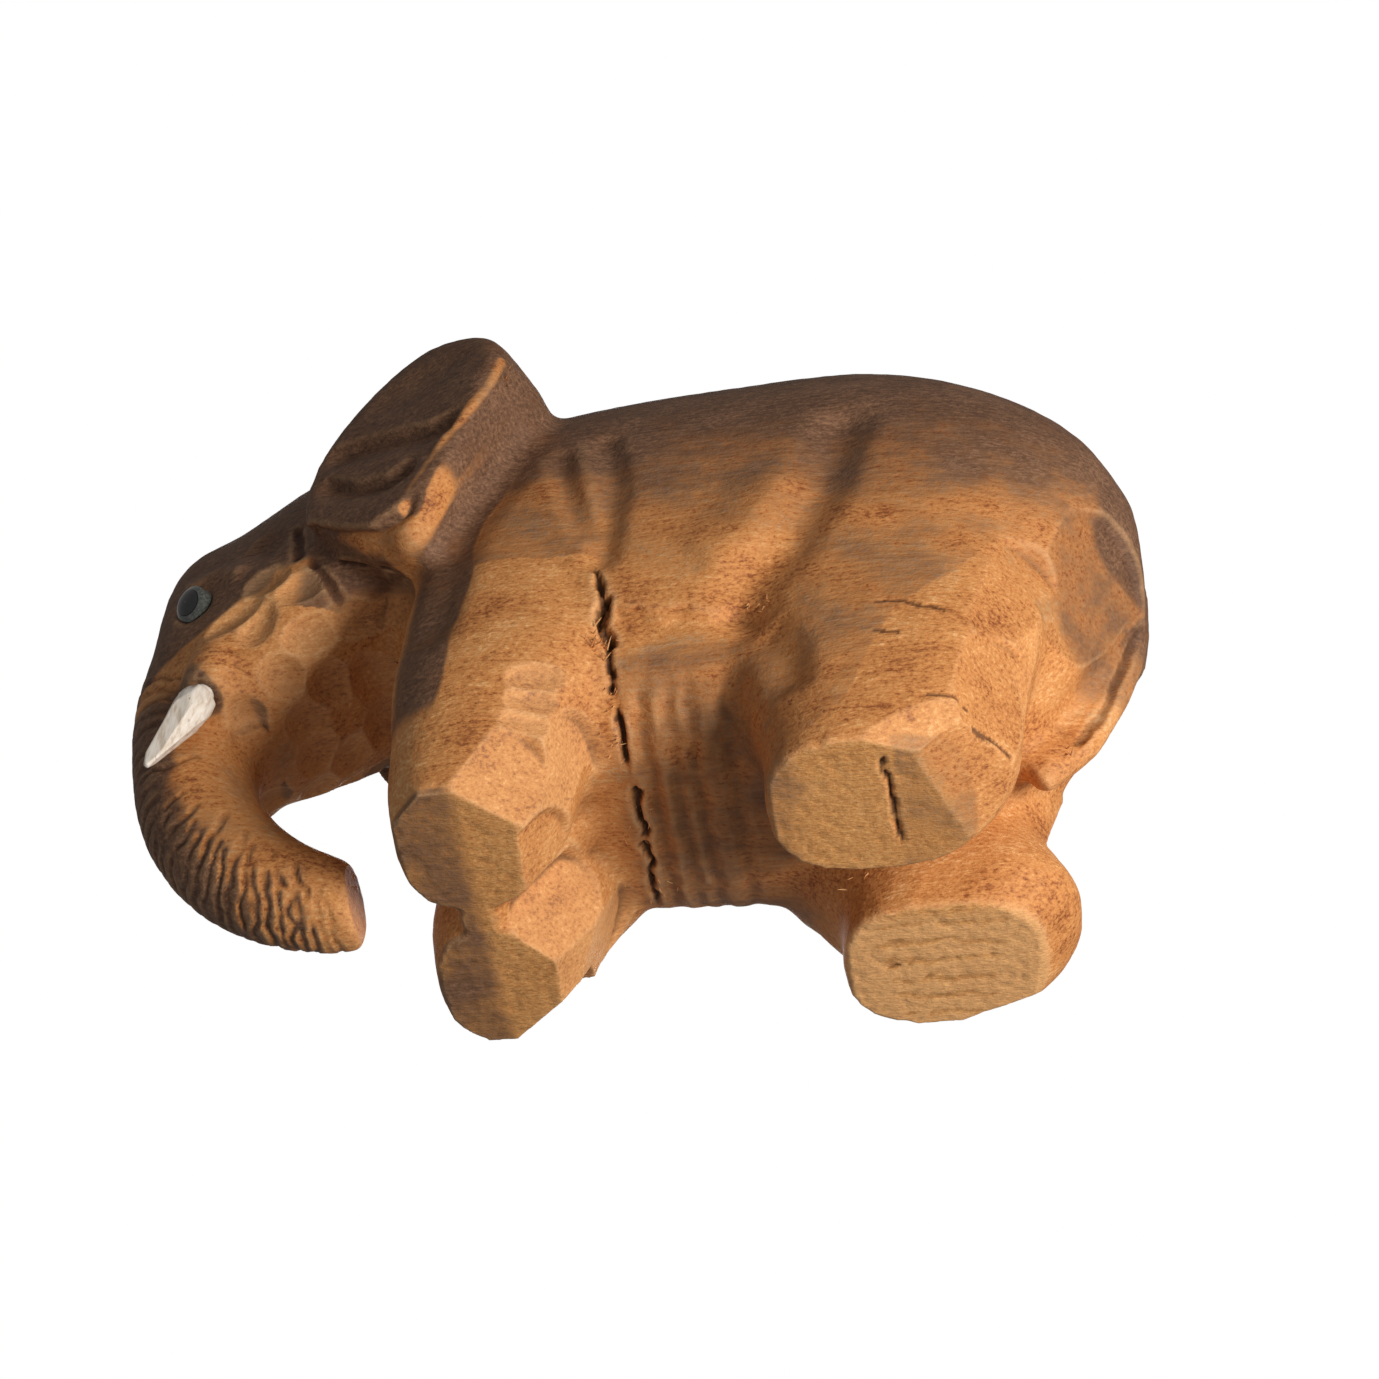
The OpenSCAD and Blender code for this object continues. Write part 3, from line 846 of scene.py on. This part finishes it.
dice = np.random.default_rng(5)
for (px, py, pz), lean, spread, count, long, thick in (
        ((-2.2, -34, 35), (0.5, -0.6, -0.5), 3.0, 22, 3.2, 0.35),
        ((0.2, -28, 28), (0.4, -0.5, -0.7), 2.0, 10, 1.8, 0.3),
        ((0.8, -20, 23), (0.3, -0.3, -0.9), 3.0, 10, 1.5, 0.3),
        ((1.2, 0, 21), (0.3, 0, -1), 7.0, 16, 1.4, 0.3),
        ((1.6, 18, 22), (0.3, 0.3, -0.9), 5.0, 10, 1.6, 0.3),
        ((-22, -48, 103), (0.2, -0.6, -0.6), 2.0, 9, 2.4, 0.35),
        ((43, 8, 12), (-0.6, -0.3, -0.6), 3.0, 6, 2.2, 0.5),
        ((82, -1, 29), (0.7, -0.5, -0.5), 1.2, 3, 3.2, 0.5),
        ((27, -38, 40), (0.1, -0.5, -0.9), 3.0, 8, 1.8, 0.35)):
    for _ in range(count):
        spot, out = block.near(np.array([px, py, pz]) + dice.normal(0, spread * 0.5, 3))
        way = unit(np.array(lean) + out * 0.5 + dice.normal(0, 0.35, 3))
        splinter(spot - out * 0.25, way, long * dice.uniform(0.5, 1), thick, dice.normal(0, 0.5))
fibre_mesh = bpy.data.meshes.new("torn_fibres")
strands = np.clip(np.array(strands), LOW + INSET, HIGH - INSET) * MM
fibre_mesh.from_pydata([tuple(p) for p in strands], [], loops)
fibres = new_object("torn_fibres", fibre_mesh)
fibre_tone = fibre_mesh.attributes.new("tone", "FLOAT", "POINT")
fibre_tone.data.foreach_set("value", np.full(len(strands), 0.9))
finish_with(fibres, wood)
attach(fibres, "root")

# ---------------------------------------------------------------- camera
DISTANCE = 0.52
target = Vector((0.010, 0.003, 0.062))
turn = math.radians(8)
rise = math.radians(-48)
roll = math.radians(1)
back = Vector((math.sin(turn) * math.cos(rise), -math.cos(turn) * math.cos(rise), math.sin(rise)))
right = Vector((math.cos(turn), math.sin(turn), 0))
up = back.cross(right)
rolled_right = right * math.cos(roll) + up * math.sin(roll)
rolled_up = up * math.cos(roll) - right * math.sin(roll)
lens = bpy.data.cameras.new("camera")
lens.sensor_width = 36
lens.lens = 67.9
lens.clip_start = 0.01
lens.clip_end = 10
camera = new_object("camera", lens)
turned = Matrix((rolled_right, rolled_up, back)).transposed().to_4x4()
turned.translation = target + back * DISTANCE
camera.matrix_world = turned
bpy.context.scene.camera = camera
bpy.context.scene.view_settings.view_transform = "Standard"

# ---------------------------------------------------------------- light
world = bpy.data.worlds.new("studio")
bpy.context.scene.world = world
world.use_nodes = True
tree = world.node_tree
tree.nodes.clear()
out = tree.nodes.new("ShaderNodeOutputWorld")
pick = tree.nodes.new("ShaderNodeMixShader")
ray = tree.nodes.new("ShaderNodeLightPath")
soft = tree.nodes.new("ShaderNodeBackground")
soft.inputs[0].default_value = (1.0, 0.97, 0.94, 1)
soft.inputs[1].default_value = 0.23
white = tree.nodes.new("ShaderNodeBackground")
white.inputs[0].default_value = (1, 1, 1, 1)
white.inputs[1].default_value = 1.0
tree.links.new(ray.outputs["Is Camera Ray"], pick.inputs[0])
tree.links.new(soft.outputs[0], pick.inputs[1])
tree.links.new(white.outputs[0], pick.inputs[2])
tree.links.new(pick.outputs[0], out.inputs[0])


def lamp(name, place, size, watts, colour):
    """A square soft light in millimetres, aimed at the object's middle."""
    data = bpy.data.lights.new(name, "AREA")
    data.size = size * MM
    data.energy = watts
    data.color = colour
    made = new_object(name, data)
    made.location = Vector(place) * MM
    aim = (target - made.location).to_track_quat("-Z", "Y")
    made.rotation_mode = "QUATERNION"
    made.rotation_quaternion = aim


lamp("key", (430, -290, -240), 200, 3.7, (1.0, 0.93, 0.84))
lamp("fill", (-100, 520, 620), 500, 3.0, (0.95, 0.97, 1.0))

# ---------------------------------------------------------------- floor
ground = bpy.data.meshes.new("floor")
FLOOR = 1.5
FLOOR_Z = -0.0004
corners = [(a * FLOOR, b * FLOOR, FLOOR_Z) for a, b in ((-1, -1), (1, -1), (1, 1), (-1, 1))]
ground.from_pydata(corners, [], [(0, 1, 2, 3)])
floor = new_object("floor", ground)
pale = Shader("floor_pale")
seen = pale.add("BsdfPrincipled", {"Base Color": (0.86, 0.86, 0.85, 1), "Roughness": 0.9})
clear = pale.add("BsdfTransparent")
below = pale.add("NewGeometry").outputs["Backfacing"]
both = pale.add("MixShader", {0: below, 1: seen.outputs[0], 2: clear.outputs[0]})
pale.link(both.outputs[0], pale.out.inputs[0])
ground.materials.append(pale.material)
floor.visible_diffuse = False
floor.visible_glossy = False
floor.visible_transmission = False
floor.visible_shadow = False
